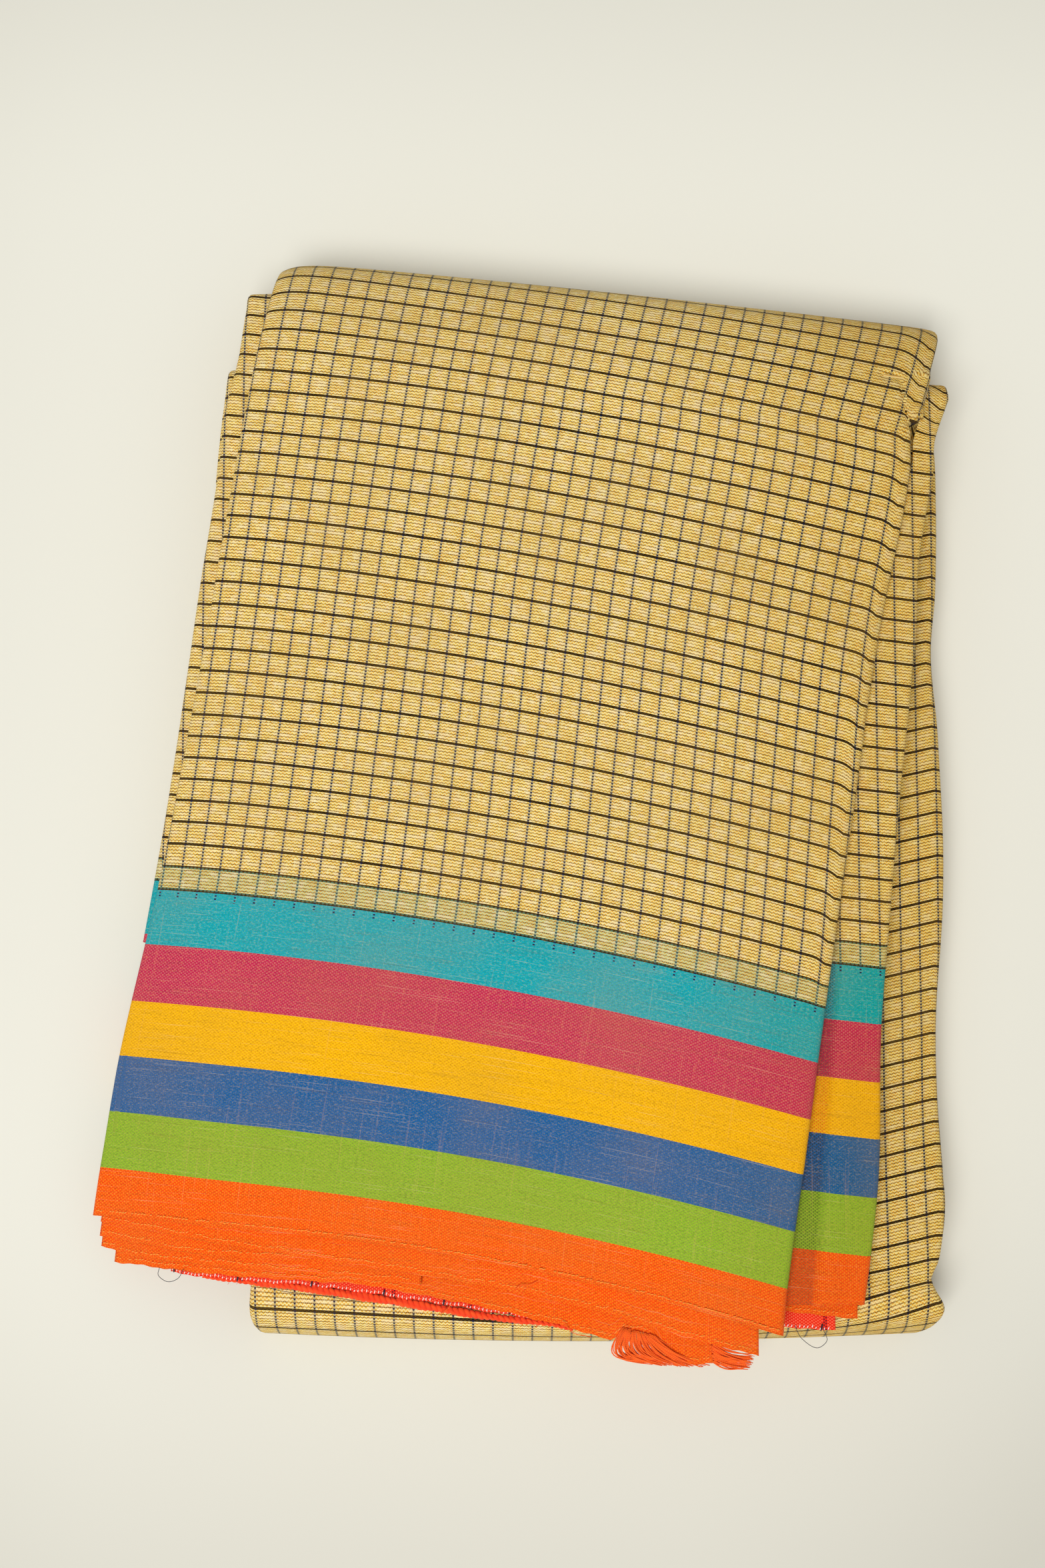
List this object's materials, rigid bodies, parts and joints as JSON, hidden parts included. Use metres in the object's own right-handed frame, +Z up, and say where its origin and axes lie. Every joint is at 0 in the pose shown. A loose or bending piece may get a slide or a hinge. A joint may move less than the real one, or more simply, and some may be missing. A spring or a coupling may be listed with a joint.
{
  "type": "folded saree",
  "caption": "Handloom cotton saree folded into a flat pack, turned at the back and front, with loose selvedge layers.",
  "frame": {"origin": "middle of the pack's outline, on the surface it lies on", "axes": "+Y towards the back fold, +X to the right seen from the selvedge side, +Z up"},
  "size_m": [0.2618, 0.3405, 0.0374],
  "materials": {
    "checked_cotton": "matt handloom cotton",
    "orange_selvedge": "matt handloom cotton",
    "red_selvedge": "matt handloom cotton",
    "red_cord": "matt rolled cotton edge"
  },
  "bodies": {
    "root": {"top_stretch": "checked_cotton", "lower_stretch": "checked_cotton", "second_right_fold": "checked_cotton", "folded_layers": "checked_cotton", "left_fold_2": "checked_cotton", "left_fold_3": "checked_cotton", "selvedge_layer_2": "orange_selvedge", "selvedge_layer_3": "orange_selvedge", "selvedge_layer_4": "orange_selvedge", "selvedge_layer_5": "orange_selvedge", "far_selvedge_1": "red_selvedge", "far_selvedge_2": "red_selvedge", "second_right_selvedge": "orange_selvedge", "far_selvedge_right": "red_selvedge", "rolled_selvedge": "red_cord", "frayed_selvedge": "orange_selvedge", "frayed_end": "orange_selvedge"}
  },
  "joints": []
}
